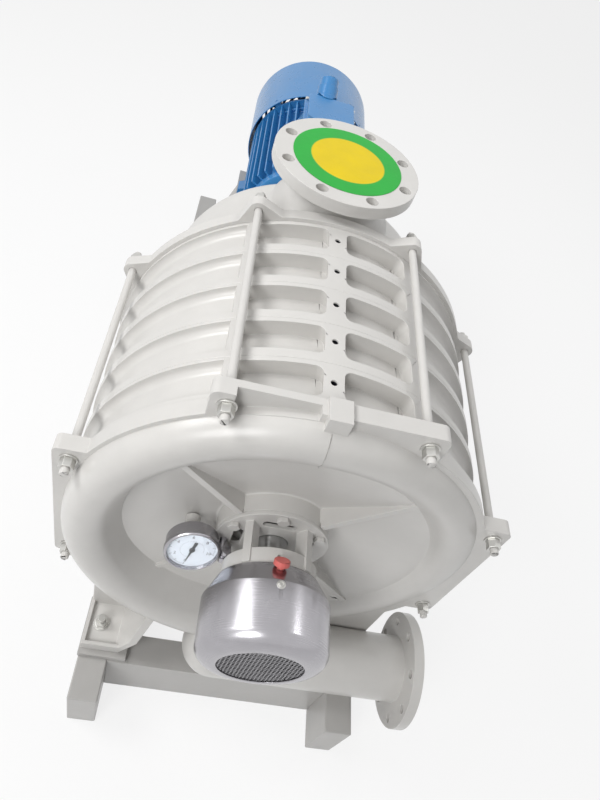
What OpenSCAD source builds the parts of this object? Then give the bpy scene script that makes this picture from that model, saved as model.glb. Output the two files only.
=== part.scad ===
// Multistage centrifugal blower with its motor on a welded base.
// Z is up. The shaft runs along Y, with the fan cover in front at -Y and the motor at +Y.
// The discharge flange faces +X and the suction flange faces up.
// The origin is the centre of the foundation bolts, on the floor.

/* [Shaft line] */
// Height of the shaft above the floor
shaft_h = 605; // [595:1:640]
// Shaft diameter in the wheels and bearings
shaft_d = 50; // [46:1:54]
// Shoulder diameter beside the front bearing
shoulder_d = 56; // [55:1:60]
// Outside diameter of the sleeves between the wheels
sleeve_d = 72; // [66:1:80]
// Radial gap of a seal round the turning shaft or sleeve
seal_gap = 0.5; // [0.3:0.1:1]
// Radial clearance of a fitted bore
fit = 0.04; // [0.02:0.01:0.08]

/* [Casing] */
// Length of one stage casing
stage_l = 82; // [78:1:92]
// Radius of the joint lands
land_r = 355; // [352:1:358]
// Radius of the hollows between the lands
valley_r = 339; // [336:1:342]
// Radius inside the stage casings
cavity_r = 312; // [308:1:316]
// Width of the front strip of each joint land
land_front = 18; // [14:1:22]
// Width of the rear strip of each joint land
land_back = 10; // [8:1:14]
// Radius of the window floors
window_r = 326; // [322:1:330]
// Corner radius of the windows
window_corner = 12; // [8:1:18]
// Thickness of the front flange
flange_t = 28; // [24:1:34]
// Thickness of the rear flange
rear_flange_t = 24; // [20:1:30]
// Length of the suction chamber behind the rear flange
suction_l = 228; // [220:1:245]
// Radius of the suction chamber
drum_r = 290; // [280:1:300]
// Wall of the castings
wall = 12; // [10:1:14]

/* [Discharge ring] */
// Radius at which the ring meets the dished front plate
ring_inner_r = 258; // [252:1:264]
// Radius of the rounded front edge of the ring
nose_r = 41; // [38:1:42]
// Mean height of the left half of the ring, in front of the flange
left_l = 53; // [50:1:56]
// Rise of the left half towards the discharge pipe
left_rise = 18; // [14:1:19]
// Mean height of the right half of the ring
right_l = 26; // [24:1:28]
// Fall of the right half towards its narrow end
right_fall = 15; // [12:1:16]
// Radius of the front hub
hub_r = 99; // [96:1:104]
// Depth of the dish at the hub, behind the flange face
dish_depth = 40; // [36:1:44]
// Thickness of the radial ribs
rib_t = 12; // [8:1:16]

/* [Tie rods] */
// Radial gap between the joint lands and the tie rods
rod_gap = 13; // [12:1:20]
// Tie rod diameter
rod_d = 14; // [12:1:16]
// How far the front flange reaches past the rods
flange_reach = 25; // [22:1:30]
// Radius of the lobe tips of the rear flange
lobe_r = 17; // [16:1:20]
// Height of the tie rod nuts
rod_nut_h = 15; // [12:1:18]
// Washer thickness
washer_t = 3; // [2:0.5:4]

/* [Flanges] */
// Outside diameter of the suction flange
inlet_od = 280; // [275:1:290]
// Bolt circle of the suction flange
inlet_pcd = 240; // [236:1:244]
// Bolt hole diameter of the suction flange
inlet_hole_d = 23; // [20:1:24]
// Bore of the suction neck
inlet_bore_d = 150; // [140:1:156]
// Diameter of the protective sticker on the suction flange
sticker_d = 210; // [200:2:224]
// Height of the suction flange face above the shaft
inlet_h = 405; // [395:1:430]
// Thickness of the suction flange
inlet_t = 24; // [20:1:28]
// Outside diameter of the discharge flange
outlet_od = 240; // [235:1:250]
// Bolt circle of the discharge flange
outlet_pcd = 200; // [196:1:204]
// Bolt hole diameter of the discharge flange
outlet_hole_d = 18; // [16:1:20]
// Bore of the discharge pipe
outlet_bore_d = 125; // [115:1:130]
// Wall of the discharge pipe
outlet_wall = 6; // [5:0.5:8]
// Distance of the discharge flange face from the shaft
outlet_x = 389; // [380:1:410]
// Thickness of the discharge flange
outlet_t = 22; // [18:1:26]
// Distance of the discharge pipe below the shaft
outlet_drop = 361; // [356:0.5:361]
// Distance of the discharge pipe in front of the flange
outlet_fore = 60; // [56:1:64]

/* [Wheels] */
// Outside radius of the wheels
wheel_r = 278; // [268:1:284]
// Radius of the wheel eye
eye_r = 96; // [90:1:102]
// Number of blades in a wheel
blades = 9; // [7:1:12]
// Blade thickness
blade_t = 3; // [2:0.5:4]
// Number of return vanes behind each wheel
vanes = 8; // [6:1:10]

/* [Bearings] */
// Outside diameter of a bearing
bearing_d = 110; // [108:1:114]
// Width of a bearing
bearing_w = 27; // [25:1:29]
// Ball diameter
ball_d = 15; // [13:1:16]
// Radius of the bearing housings
housing_r = 80; // [78:1:82]
// Open length of the front bracket between its plate and the bearing housing
bracket_open = 48; // [44:1:52]
// Open length of the rear bracket
rear_bracket_open = 14; // [12:1:16]
// Thickness of the bracket plates
bracket_plate_t = 8; // [7:1:10]
// Radius of the bracket bolt circle
bracket_bolt_r = 86; // [84:1:88]

/* [Fan cover] */
// Radius of the cover
cover_r = 106; // [103:1:110]
// Length of the cover
cover_l = 136; // [130:1:146]
// Sheet thickness of the cover
cover_t = 1.5; // [1:0.5:2]
// Radius of the perforated front
grille_r = 73; // [68:1:78]
// Diameter of the holes in the front
grille_hole_d = 6; // [5:0.5:7]
// Spacing of the holes in the front
grille_pitch = 9.5; // [9:0.5:12]

/* [Gauge] */
// Radius of the gauge bezel
gauge_r = 48; // [46:1:50]
// Depth of the gauge case
gauge_l = 30; // [27:1:31]
// Upward tilt of the dial
gauge_tilt = 15; // [10:1:20]
// Sideways turn of the dial
gauge_turn = 5.5; // [4:0.5:7]
// Position of the pointer at rest, clockwise from the top of the dial
pointer_rest = 195; // [180:1:225]

/* [Motor] */
// Shaft height of the motor
motor_h = 180; // [178:1:184]
// Length of the finned motor frame
motor_l = 336; // [320:1:350]
// Radius over the fins
fin_r = 165; // [160:1:170]
// Radius of the motor barrel
barrel_r = 138; // [135:1:142]
// Fins round the barrel
fins = 44; // [36:4:52]
// Fin thickness
fin_t = 4; // [3:0.5:5]
// Radius of the fan cowl
cowl_r = 176; // [172:1:180]
// Length of the fan cowl
cowl_l = 239; // [225:1:250]
// Distance between the motor feet holes along the shaft
motor_hole_pitch_y = 241; // [235:1:250]
// Distance between the motor feet holes across
motor_hole_pitch_x = 279; // [270:1:290]
// Motor shaft diameter
motor_shaft_d = 48; // [44:1:52]
// Diameter of the motor's cooling fan
motor_fan_d = 256; // [240:2:270]
// Diameter of the hub of the motor's cooling fan
motor_fan_hub_d = 68; // [60:1:74]
// Width of the blades of the motor's cooling fan
motor_fan_blade_w = 46; // [40:1:54]
// Distance from the back of the motor's cooling fan to the end of the cowl
motor_fan_room = 160; // [150:1:170]
// Bolt diameter of the motor feet
motor_bolt_d = 14; // [12:1:14]

/* [Base] */
// Length of the base beams
beam_l = 1780; // [1740:1:1840]
// Width of a base beam
beam_w = 60; // [56:1:70]
// Height of a base beam
beam_h = 160; // [150:1:165]
// Wall of a base beam
beam_t = 6; // [5:0.5:8]
// Distance between the beam centres
beam_gauge = 540; // [536:1:548]
// Distance between the foundation holes along the base
foundation_pitch = 1060; // [1000:1:1100]
// Diameter of the foundation holes
foundation_d = 20; // [18:1:24]
// Thickness of the packing plates under the casing feet
packing_t = 15; // [12:1:18]
// Thickness of the foot pads
pad_t = 18; // [16:1:22]

/* [Hidden] */
$fn = 72;

// Colours as painted, plated or moulded
cream = [0.84, 0.83, 0.80];
steel = [0.62, 0.62, 0.60];
polished = [0.80, 0.79, 0.79];
iron = [0.45, 0.45, 0.45];
alloy = [0.72, 0.73, 0.75];
blue = [0.24, 0.48, 0.74];
red = [0.84, 0.42, 0.40];
copper = [0.72, 0.42, 0.22];
white = [0.93, 0.94, 0.97];
black = [0.10, 0.10, 0.12];

// Stations along the shaft, measured from the front face of the front flange
stage_count = 5;
rear_flange_y = flange_t + stage_count * stage_l;
rear_wall_y = rear_flange_y + rear_flange_t + suction_l;
first_foundation_y = 175;
origin_y = first_foundation_y + foundation_pitch / 2;
shaft_r = shaft_d / 2;
sleeve_r = sleeve_d / 2;
floor_z = -shaft_h;
beam_top_z = floor_z + beam_h;
rod_circle_r = land_r + rod_gap + rod_d / 2;
rod_angles = [for (i = [0:7]) 22.5 + i * 45];
// The discharge pipe covers the front of this rod, so it screws into a blind hole instead
blind_angle = 157.5;
nut_angles = [for (a = rod_angles) if (a != blind_angle) a];
blind_y = 8;

// The discharge ring grows like a scroll. Each half is turned about its own slightly tilted axis,
// so it is highest or lowest at the clock angle given here
left_high_angle = 170;
right_low_angle = 125;
slope_start = [ring_inner_r - 8, 24];

// Wheel places inside one stage
wheel_y = 36;
back_plate_t = 4;
wheel_hub_l = 30;
wheel_hub_r = 50;
wheel_exit_w = 16;
wheel_eye_w = 28;
shroud_t = 3;
eye_collar_l = 8;
diaphragm_t = 7;
return_w = 20;
partition_t = 6;
partition_r = 286;

// Shaft stations
front_hub_y = 6;
front_seal_y = 44;
front_seal_l = 14;
shoulder_end_y = 10;
bracket_len = bracket_plate_t + bracket_open;
housing_l = 35;
front_bearing_y = front_hub_y - bracket_len - 4 - bearing_w;
rear_bearing_y = rear_wall_y + bracket_plate_t + rear_bracket_open + 4;
cap_t = 6;
shaft_end_y = rear_bearing_y + bearing_w + 4 + cap_t + 59;
lock_nut_y = rear_wall_y - 38;
lock_nut_l = 16;
coupling_gap = 4;

// Fan cover stations
cover_y = front_hub_y - bracket_len - housing_l + 6;
cover_front_y = cover_y - cover_l;
register_r = housing_r + 4;
fan_y = cover_y - 102;

// Motor stations
motor_shaft_y = shaft_end_y + coupling_gap;
motor_front_y = motor_shaft_y + 110;
shield_l = 28;
frame_y = motor_front_y + shield_l;
frame_end_y = frame_y + motor_l;
rear_shield_l = 20;
cowl_y = frame_end_y - 3;
cowl_end_y = cowl_y + cowl_l;
foot_hole_y = motor_front_y + 121;
stator_r = barrel_r - 10;
rotor_r = 84;
air_gap = 0.6;
core_y = frame_y + 68;
core_l = 200;
journal_r = motor_shaft_d / 2 + 3;
box_x = 8;
box_y = frame_y + 76;
box_l = 132;
box_w = 124;
box_base_z = 140;
box_top_z = 216;
lid_t = 26;
stand_top_z = -motor_h;
stand_t = 16;
stand_l = 400;
stand_w = 360;
stand_y = foot_hole_y - 45;

// Gauge place and sizes
gauge_at = [-132, -40, -11];
bezel_t = 10;
dial_depth = 8;
dial_t = 1;
glass_t = 2;
arbor_r = 2;

// A lathe profile of [radius, station] points turned round the local Z axis
module turned(profile) rotate_extrude($fn = 144) polygon(profile);

// Local Z runs along the shaft towards the motor, starting at the given station
module on_shaft(y = 0) translate([0, y, 0]) rotate([-90, 0, 0]) children();

// Clock angle from the top, seen from the front, inside on_shaft
module at_angle(a, r = 0) rotate([0, 0, a]) translate([0, -r, 0]) children();

module disc(r, h, bore = 0) difference() {
    cylinder(r = r, h = h);
    if (bore > 0) translate([0, 0, -1]) cylinder(r = bore, h = h + 2);
}

module hexagon(across, h) cylinder(d = across / cos(30), h = h, $fn = 6);

module hex_nut(across, h, bore) difference() {
    hexagon(across, h);
    translate([0, 0, -1]) cylinder(d = bore, h = h + 2);
}

// An oblong of the given overall length and width, centred
module oblong(l, w, h) {
    for (s = [-1, 1]) translate([s * (l - w) / 2, 0, 0]) cylinder(d = w, h = h);
    translate([-(l - w) / 2, -w / 2, 0]) cube([l - w, w, h]);
}

module rounded_square(l, w, r) {
    square([l - 2 * r, w], center = true);
    square([l, w - 2 * r], center = true);
    for (x = [-1, 1], y = [-1, 1]) translate([x * (l / 2 - r), y * (w / 2 - r)]) circle(r = r);
}

function polar(r, a) = [r * cos(a), r * sin(a)];
function arc(c, r, a0, a1, n) = [for (i = [0:n]) c + polar(r, a0 + (a1 - a0) * i / n)];

// A swept blade of constant thickness between two radii
function blade(r0, r1, sweep, t, n = 7) = let (rr = [for (i = [0:n]) r0 + (r1 - r0) * i / n])
    concat([for (i = [0:n]) polar(rr[i], sweep * i / n + t / 2 / rr[i] * 57.3)],
        [for (i = [n:-1:0]) polar(rr[i], sweep * i / n - t / 2 / rr[i] * 57.3)]);

module swept_blades(count, r0, r1, sweep, t, h)
    for (i = [0:count - 1]) rotate([0, 0, i * 360 / count])
        linear_extrude(height = h) polygon(blade(r0, r1, sweep, t));

// Casing

// Outline of the front flange: two crossed plates that hold two rods on each of their ends
module front_outline() {
    across = 2 * (rod_circle_r * sin(22.5) + flange_reach);
    long = 2 * (rod_circle_r * cos(22.5) + flange_reach);
    circle(r = land_r + 7, $fn = 144);
    rounded_square(across, long, 12);
    rounded_square(long, across, 12);
}

// Outline of the rear flange: a round plate with a pointed lobe at each rod
module rear_outline() {
    base_r = land_r - 15;
    tip = lobe_r * sin(45);
    half = tip + rod_circle_r + tip - base_r;
    circle(r = land_r + 7, $fn = 144);
    for (a = rod_angles) rotate(a) {
        translate([0, -rod_circle_r]) circle(r = lobe_r);
        polygon([[-tip, -rod_circle_r - tip], [tip, -rod_circle_r - tip], [half, -base_r], [-half, -base_r]]);
    }
}

module rod_holes(h, angles) for (a = angles) at_angle(a, rod_circle_r)
    translate([0, 0, -1]) cylinder(d = rod_d + 1, h = h + 2);

pad_outer = beam_gauge / 2 + 28;
pad_inner = beam_gauge / 2 - 35;
lip = 12;

// A point below the shaft at an angle from straight down
function below(a, r) = [r * sin(a), -r * cos(a)];

// One casting foot: pad, outer wall or low lip, inclined inner wall and a web.
// A short foot has no tall walls, and an open foot has only a lip at its outer and front edges
module casting_foot(side, y0, y1, web_y, short = false, open = false) {
    pad_z = beam_top_z + packing_t;
    inner = open ? pad_inner - 14 : pad_inner;
    run = abs(y1 - y0);
    low = min(y0, y1);
    wall_top = -sqrt(pow(land_r, 2) - pow(pad_outer - wall / 2, 2)) + 2;
    translate([0, low, 0]) {
        translate([side > 0 ? inner : -pad_outer, 0, pad_z]) cube([pad_outer - inner, run, pad_t]);
        if (open) {
            translate([side > 0 ? pad_outer - 7 : -pad_outer, 0, pad_z]) cube([7, run, pad_t + lip]);
            translate([side > 0 ? inner : -pad_outer, 0, pad_z]) cube([pad_outer - inner, 7, pad_t + lip]);
        } else translate([side > 0 ? pad_outer - wall : -pad_outer, web_y > 0 ? 0 : run * 0.3, pad_z])
            cube([wall, run * 0.7, short ? 50 : wall_top - pad_z]);
    }
    slope = short
        ? [[inner, pad_z + 2], [inner + 14, pad_z + 2], [inner + 4, pad_z + 40], [inner - 10, pad_z + 40]]
        : [[inner, pad_z + 2], [inner + 14, pad_z + 2], below(30.5, land_r - 16), below(27.8, land_r - 16)];
    if (open) intersection() {
        translate([0, low, 0]) foot_slice(side, slope, run);
        rotate([90, 0, 90]) translate([0, 0, -pad_outer]) linear_extrude(height = 2 * pad_outer)
            polygon([[low, pad_z], [y1, pad_z], [y1, 0], [low + 40, -land_r + 50], [low, pad_z + 70]]);
    } else translate([0, low + (web_y > 0 ? run * 0.1 : run * 0.3), 0]) foot_slice(side, slope, run * 0.6);
    web = [[inner + 4, pad_z + 2], [pad_outer - 2, pad_z + 2], [pad_outer - 2, wall_top - 7],
        below(39.2, land_r - 7), below(29.1, land_r - 16)];
    translate([0, web_y > 0 ? y0 : y1 - wall, 0]) foot_slice(side, web, wall);
}

// A flat shape in the XZ plane made thick along Y, on either side
module foot_slice(side, points, t) mirror([side > 0 ? 0 : 1, 0, 0])
    translate([0, t, 0]) rotate([90, 0, 0]) linear_extrude(height = t) polygon(points);

stud_x = beam_gauge / 2 - 2;
stud_d = 16;
rear_foot_y = rear_flange_y + 74;
stud_places = [[-stud_x, -38], [stud_x, 66], [-stud_x, rear_foot_y], [stud_x, rear_foot_y]];

// One copy at each foot stud, on top of the base beams
module foot_studs() for (p = stud_places) translate([p[0], p[1], beam_top_z]) children();

module front_body_profile() turned([
    [60, 22], [76, 22], [76, front_hub_y], [hub_r, front_hub_y], [hub_r, dish_depth - 2], [hub_r + 5, dish_depth],
    [ring_inner_r, 6], [land_r - nose_r, 6], [land_r - nose_r, 0], [land_r, 0], [land_r, flange_t],
    [ring_inner_r - 8, flange_t], [ring_inner_r - 8, 20], [hub_r + 5, dish_depth + wall],
    [sleeve_r + 24, front_seal_y + front_seal_l], [sleeve_r + seal_gap, front_seal_y + front_seal_l],
    [sleeve_r + seal_gap, front_seal_y], [60, front_seal_y]]);

// Half of the scroll ring, or of the hollow inside it, tilted so that it is highest at one clock angle
module scroll_half(side, mean_l, rise, high_angle, inset) {
    nose_c = [land_r - nose_r, nose_r - mean_l];
    start = slope_start + [inset * 1.2, inset];
    reach = norm(nose_c - start);
    slope_a = atan2(nose_c[1] - start[1], nose_c[0] - start[0]) - asin((nose_r - inset) / reach);
    tilt = asin(rise / nose_c[0]);
    intersection() {
        rotate([0, 0, high_angle]) rotate([tilt, 0, 0]) rotate([0, 0, -high_angle])
            turned(concat([start], arc(nose_c, nose_r - inset, 270 + slope_a, 360, 12),
                [[land_r - inset, start[1]]]));
        translate([side > 0 ? 0 : -2 * land_r, -land_r * 2, -100])
            cube([2 * land_r, 4 * land_r, 100 + flange_t + inset]);
    }
}

module scroll_ring(inset = 0) {
    scroll_half(-1, left_l, left_rise, left_high_angle, inset);
    scroll_half(1, right_l, -right_fall, right_low_angle, inset);
}

// Front flange with the cast pocket in the left part of its top edge and the boss beside it
module front_flange() {
    difference() {
        on_shaft() linear_extrude(height = flange_t) difference() {
            front_outline();
            circle(r = land_r - wall / 2, $fn = 144);
        }
        translate([-135, -1, land_r - 40]) cube([115, 16, 80]);
    }
    translate([-12, -12, land_r - 30]) cube([34, 12 + flange_t, 53]);
}

module outlet_line() translate([0, -outlet_fore, -outlet_drop]) rotate([0, 90, 0]) children();

module front_casing() color(cream) difference() {
    outlet_r = outlet_bore_d / 2 + outlet_wall;
    union() {
        on_shaft() {
            front_body_profile();
            scroll_ring();
            for (a = [45:90:315]) at_angle(a) rotate([90, 0, 90]) translate([0, 0, -rib_t / 2])
                linear_extrude(height = rib_t)
                    polygon([[hub_r - 7, 44], [hub_r - 7, 12], [hub_r + 1, 12], [hub_r + 1, 3],
                        [ring_inner_r + 20, 2], [ring_inner_r + 20, 9]]);
        }
        front_flange();
        outlet_line() {
            translate([0, 0, -30]) sphere(r = outlet_r);
            translate([0, 0, -30]) cylinder(r = outlet_r, h = outlet_x + 30 - 1);
            translate([0, 0, outlet_x - outlet_t]) cylinder(d = outlet_od, h = outlet_t);
        }
        casting_foot(-1, -88, 16, -1, open = true);
        casting_foot(1, 4, 104, 1, short = true);
    }
    on_shaft() {
        scroll_ring(wall);
        rod_holes(flange_t, nut_angles);
        at_angle(blind_angle, rod_circle_r) translate([0, 0, blind_y])
            cylinder(d = rod_d + 2 * fit, h = flange_t);
    }
    outlet_line() {
        translate([0, 0, -30]) sphere(d = outlet_bore_d);
        translate([0, 0, -30]) cylinder(d = outlet_bore_d, h = outlet_x + 60);
        for (i = [0:7]) rotate([0, 0, 22.5 + i * 45]) translate([outlet_pcd / 2, 0, outlet_x - outlet_t - 1])
            cylinder(d = outlet_hole_d, h = outlet_t + 2);
    }
    foot_studs() translate([0, 0, -1]) cylinder(d = stud_d + 1, h = 60);
    on_shaft(front_hub_y) bracket_bolt_holes(26);
}

module bracket_bolt_holes(h) for (i = [0:5]) at_angle(i * 60, bracket_bolt_r)
    translate([0, 0, -1]) cylinder(d = 12 + 2 * fit, h = h + 1);

// Outer skin of one stage casing: two lands and a soft hollow between them
stage_skin = concat(
    [[cavity_r, 0], [land_r, 0], [land_r, land_front - 4]],
    arc([valley_r + 14, land_front + 10], 14, 270, 180, 4),
    arc([valley_r + 14, stage_l - land_back - 10], 14, 180, 90, 4),
    [[land_r, stage_l - land_back + 4], [land_r, stage_l], [cavity_r, stage_l]]);

// A window cut between two clock angles
module window_cut(a0, a1) {
    mid = (a0 + a1) / 2;
    width = 2 * land_r * sin((a1 - a0) / 2);
    long = stage_l - land_front - land_back + 2;
    intersection() {
        disc(land_r + 20, stage_l, window_r);
        at_angle(mid) translate([0, 0, land_front + long / 2 - 1]) rotate([90, 0, 0])
            linear_extrude(height = land_r + 20) rounded_square(width, long, window_corner);
    }
}

module stage_casing(k) color(cream) on_shaft(flange_t + (k - 1) * stage_l) difference() {
    union() {
        turned(stage_skin);
        intersection() {
            disc(land_r, stage_l, cavity_r + 1);
            translate([-land_r * sin(26), -land_r, 0]) cube([2 * land_r * sin(26), 60, stage_l]);
        }
        if (k > 1) {
            disc(cavity_r + 2, diaphragm_t, eye_r);
            translate([0, 0, diaphragm_t - 0.5])
                swept_blades(vanes, eye_r + 16, partition_r - 2, -42, 4, return_w + 1);
            translate([0, 0, diaphragm_t + return_w])
                disc(partition_r, partition_t, sleeve_r + seal_gap);
        }
    }
    window_cut(-24, -2.6);
    window_cut(2.6, 22);
    at_angle(0) translate([0, 0, stage_l / 2 + 5]) rotate([90, 0, 0])
        translate([0, 0, land_r - 22]) cylinder(d = 10, h = 40);
}

module stage_casing_1() stage_casing(1);
module stage_casing_2() stage_casing(2);
module stage_casing_3() stage_casing(3);
module stage_casing_4() stage_casing(4);
module stage_casing_5() stage_casing(5);

neck_y = rear_flange_y + rear_flange_t + suction_l / 2 + 5;

module rear_casing() color(cream) difference() {
    neck_r = inlet_bore_d / 2 + 9;
    union() {
        on_shaft(rear_flange_y) {
            linear_extrude(height = rear_flange_t) difference() {
                rear_outline();
                circle(r = drum_r - wall / 2, $fn = 144);
            }
            disc(drum_r, 10, eye_r);
        }
        on_shaft() turned(concat(
            [[drum_r - wall, rear_flange_y + 2], [drum_r, rear_flange_y + 2]],
            arc([drum_r - 40, rear_wall_y - 40], 40, 0, 90, 6),
            [[shaft_r + seal_gap, rear_wall_y], [shaft_r + seal_gap, rear_wall_y - wall]],
            arc([drum_r - 40, rear_wall_y - 40], 40 - wall, 90, 0, 6)));
        translate([0, neck_y, 0]) {
            turned(concat([[0, 240], [neck_r + 55, 240]],
                arc([neck_r + 60, 350], 60, 244, 180, 6), [[neck_r, inlet_h - 1], [0, inlet_h - 1]]));
            translate([0, 0, inlet_h - inlet_t]) cylinder(d = inlet_od, h = inlet_t);
        }
        for (s = [-1, 1]) casting_foot(s, rear_flange_y + 4, rear_flange_y + 108, 1);
    }
    on_shaft(rear_flange_y) rod_holes(rear_flange_t, rod_angles);
    on_shaft() turned(concat([[0, rear_flange_y + 10], [drum_r - wall, rear_flange_y + 10]],
        arc([drum_r - 40, rear_wall_y - 40], 40 - wall, 0, 90, 6), [[0, rear_wall_y - wall]]));
    translate([0, neck_y, 0]) {
        cylinder(d = inlet_bore_d, h = inlet_h + 10);
        for (i = [0:7]) rotate([0, 0, 22.5 + i * 45]) translate([inlet_pcd / 2, 0, inlet_h - inlet_t - 1])
            cylinder(d = inlet_hole_d, h = inlet_t + 2);
    }
    on_shaft(rear_wall_y) mirror([0, 0, 1]) bracket_bolt_holes(10);
    foot_studs() translate([0, 0, -1]) cylinder(d = stud_d + 1, h = 60);
}

// Tie rods

rod_stub = 10;
rod_front_y = -washer_t - rod_nut_h - rod_stub;
rod_back_y = rear_flange_y + rear_flange_t + washer_t + rod_nut_h + rod_stub;

module tie_rods() color(cream) for (a = rod_angles) {
    start = a == blind_angle ? blind_y + 1 : rod_front_y;
    on_shaft(start) at_angle(a, rod_circle_r) cylinder(d = rod_d, h = rod_back_y - start);
}

rear_nut_y = rear_flange_y + rear_flange_t + washer_t;

module rod_nut() rotate([0, 0, 15]) hex_nut(rod_d * 1.5, rod_nut_h, rod_d + 2 * fit);

module rod_washer() disc(rod_d + 0.5, washer_t, rod_d / 2 + 0.3);

module tie_rod_nuts() color(steel) {
    for (a = nut_angles) on_shaft(-washer_t - rod_nut_h) at_angle(a, rod_circle_r) rod_nut();
    for (a = rod_angles) on_shaft(rear_nut_y) at_angle(a, rod_circle_r) rod_nut();
}

module tie_rod_washers() color(steel) {
    for (a = nut_angles) on_shaft(-washer_t) at_angle(a, rod_circle_r) rod_washer();
    for (a = rod_angles) on_shaft(rear_nut_y - washer_t) at_angle(a, rod_circle_r) rod_washer();
}

// Rotor

module blower_shaft() color(steel) on_shaft() turned([
    [0, fan_y - 14], [shaft_r - 8, fan_y - 14], [shaft_r - 8, front_bearing_y - 10],
    [shaft_r, front_bearing_y - 10],
    [shaft_r, front_bearing_y + bearing_w], [shoulder_d / 2, front_bearing_y + bearing_w],
    [shoulder_d / 2, shoulder_end_y], [shaft_r, shoulder_end_y], [shaft_r, shaft_end_y - 60],
    [shaft_r - 3, shaft_end_y - 60], [shaft_r - 3, shaft_end_y], [0, shaft_end_y]]);

module impeller(k) color(alloy) on_shaft(flange_t + (k - 1) * stage_l + wheel_y) {
    top = back_plate_t + wheel_eye_w;
    low = back_plate_t + wheel_exit_w;
    turned([[shaft_r + fit, 0], [wheel_r, 0], [wheel_r, back_plate_t], [wheel_hub_r + 25, back_plate_t],
        [wheel_hub_r, 12], [wheel_hub_r - 8, wheel_hub_l], [shaft_r + fit, wheel_hub_l]]);
    intersection() {
        translate([0, 0, back_plate_t - 0.5]) swept_blades(blades, eye_r - 6, wheel_r - 0.5, 56, blade_t, 40);
        turned([[eye_r - 10, 0], [wheel_r, 0], [wheel_r, low + 1], [eye_r, top + 1], [eye_r - 10, top + 1]]);
    }
    turned([[eye_r - 3, top + eye_collar_l], [eye_r - 3, top], [wheel_r, low], [wheel_r, low + shroud_t],
        [eye_r + 2, top + shroud_t], [eye_r, top + shroud_t + 2], [eye_r, top + eye_collar_l]]);
}

module impeller_1() impeller(1);
module impeller_2() impeller(2);
module impeller_3() impeller(3);
module impeller_4() impeller(4);
module impeller_5() impeller(5);

// Sleeves hold the wheels apart: one before the first wheel, one between each pair, one behind
module shaft_sleeves() color(steel) {
    hub_start = flange_t + wheel_y;
    last = hub_start + (stage_count - 1) * stage_l + wheel_hub_l;
    on_shaft(shoulder_end_y) disc(sleeve_r, hub_start - shoulder_end_y, shaft_r + fit);
    for (k = [1:stage_count - 1]) on_shaft(hub_start + (k - 1) * stage_l + wheel_hub_l)
        disc(sleeve_r, stage_l - wheel_hub_l, shaft_r + fit);
    on_shaft(last) disc(sleeve_r, lock_nut_y - last, shaft_r + fit);
}

module rotor_lock_nut() color(iron) on_shaft(lock_nut_y) difference() {
    disc(sleeve_r + 4, lock_nut_l, shaft_r + fit);
    for (i = [0:3]) at_angle(i * 90, sleeve_r + 4) translate([-4, -5, -1]) cube([8, 10, lock_nut_l + 2]);
}

// Bearing brackets: a bolted plate, four ribs over an open space, and the bearing housing

module bearing_bracket(open, register) {
    start = bracket_plate_t + open;
    difference() {
        union() {
            cylinder(r = hub_r, h = bracket_plate_t);
            for (a = [39, 141, 219, 321]) at_angle(a, housing_r + 3) translate([-7.5, 0, bracket_plate_t - 1])
                cube([15, 24, start + housing_l - bracket_plate_t - 9]);
            translate([0, 0, start]) cylinder(r = housing_r, h = housing_l);
            if (register) translate([0, 0, start + housing_l - 6]) cylinder(r = register_r, h = 6);
        }
        translate([0, 0, -1]) cylinder(d = shoulder_d + 2 * seal_gap, h = start + 6);
        translate([0, 0, start + 4]) cylinder(d = bearing_d + 2 * fit, h = housing_l);
        for (a = [0:90:270]) at_angle(a, 62) translate([0, 0, -1]) oblong(58, 16, bracket_plate_t + 2);
        bracket_bolt_holes(bracket_plate_t + 2);
        at_angle(0, 0) translate([0, 0, start + 15]) rotate([90, 0, 0]) translate([0, 0, bearing_d / 2 - 1])
            cylinder(d = 7, h = 40);
    }
}

module front_bearing_bracket() color(cream)
    translate([0, front_hub_y, 0]) mirror([0, 1, 0]) on_shaft() bearing_bracket(bracket_open, true);

module rear_bearing_bracket() color(cream) on_shaft(rear_wall_y) bearing_bracket(rear_bracket_open, false);

module bracket_bolts() color(cream) for (i = [0:5]) {
    translate([0, front_hub_y, 0]) mirror([0, 1, 0]) on_shaft() at_angle(i * 60, bracket_bolt_r) bracket_bolt(22);
    on_shaft(rear_wall_y) at_angle(i * 60, bracket_bolt_r) bracket_bolt(9);
}

module bracket_bolt(grip) {
    translate([0, 0, -grip]) cylinder(d = 12, h = grip + bracket_plate_t + 1);
    translate([0, 0, bracket_plate_t]) hexagon(19, 8);
}

ball_circle_r = (shaft_r + bearing_d / 2) / 2;

module at_bearings() {
    on_shaft(front_bearing_y) children();
    on_shaft(rear_bearing_y) children();
}

module race_groove() translate([0, 0, bearing_w / 2])
    rotate_extrude($fn = 144) translate([ball_circle_r, 0]) circle(d = ball_d + 2 * fit);

module bearing_outer_rings() color(steel) at_bearings() difference() {
    disc(bearing_d / 2, bearing_w, ball_circle_r + ball_d / 4);
    race_groove();
}

module bearing_inner_rings() color(steel) at_bearings() difference() {
    disc(ball_circle_r - ball_d / 4, bearing_w, shaft_r + fit);
    race_groove();
}

module bearing_balls() color(polished) at_bearings()
    for (i = [0:11]) at_angle(i * 30, ball_circle_r) translate([0, 0, bearing_w / 2]) sphere(d = ball_d);

// Ring that closes a bearing housing and presses on the bearing
module bearing_cap(r) {
    disc(r, cap_t, shaft_r + 1.5);
    translate([0, 0, -4]) disc(bearing_d / 2 - 0.2, 4.5, bearing_d / 2 - 6);
}

arm_y = 40;

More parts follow.
